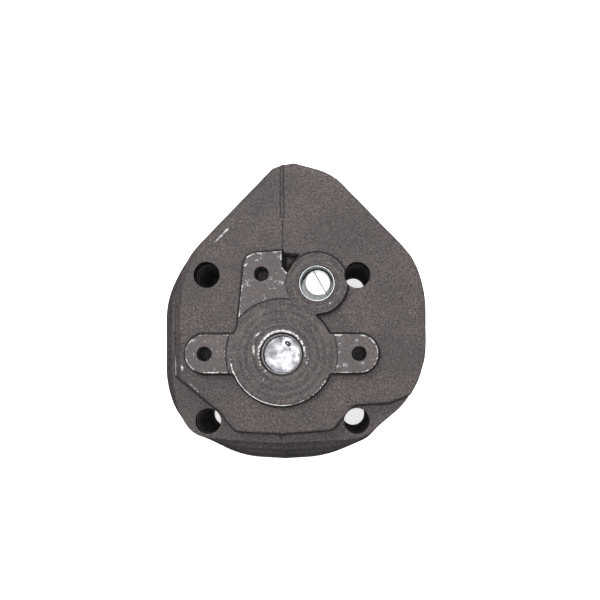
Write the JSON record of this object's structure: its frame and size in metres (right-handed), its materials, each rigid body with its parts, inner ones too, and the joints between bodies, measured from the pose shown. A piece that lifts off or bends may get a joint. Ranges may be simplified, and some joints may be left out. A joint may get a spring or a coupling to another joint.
{
  "type": "cylinder head",
  "caption": "Finned cast-iron cylinder head with a central inlet port, lugged port flange, side delivery port, spring-loaded plate valves and through stud holes.",
  "frame": {"origin": "centre of the four stud holes on the gasket face", "axes": "+Z out of the port face along the studs, +Y towards the pointed end, +X towards the wide side of the port plate"},
  "size_m": [0.0941, 0.1066, 0.0498],
  "materials": {
    "casting": "shot-blasted, phosphated grey",
    "machined_steel": "turned",
    "ground_steel": "ground and lapped",
    "spring_steel": "drawn wire",
    "copper_ring": "soft copper sheet",
    "plated_screw": "bright zinc plate"
  },
  "bodies": {
    "head": {"head_casting": "casting", "inlet_seat_bush": "machined_steel", "inlet_valve_cage": "machined_steel", "cage_snap_ring": "spring_steel", "inlet_valve_spring": "spring_steel", "delivery_port_bush": "machined_steel", "delivery_seat": "machined_steel", "delivery_seat_washer": "copper_ring", "delivery_stop_screw": "plated_screw", "delivery_valve_spring": "spring_steel"},
    "inlet_disc": {"inlet_valve_disc": "ground_steel"},
    "delivery_plate": {"delivery_valve_plate": "ground_steel"}
  },
  "joints": [
    {"name": "inlet_valve", "type": "slide", "parent": "head", "child": "inlet_disc", "axis": [0, 0, -1], "range_m": [0, 0.0015], "stiffness_N_per_m": 200, "springref_m": -0.004, "deforming": ["inlet_valve_spring"]},
    {"name": "delivery_valve", "type": "slide", "parent": "head", "child": "delivery_plate", "axis": [0, 0, 1], "range_m": [0, 0.0012], "stiffness_N_per_m": 200, "springref_m": -0.004, "deforming": ["delivery_valve_spring"]}
  ]
}
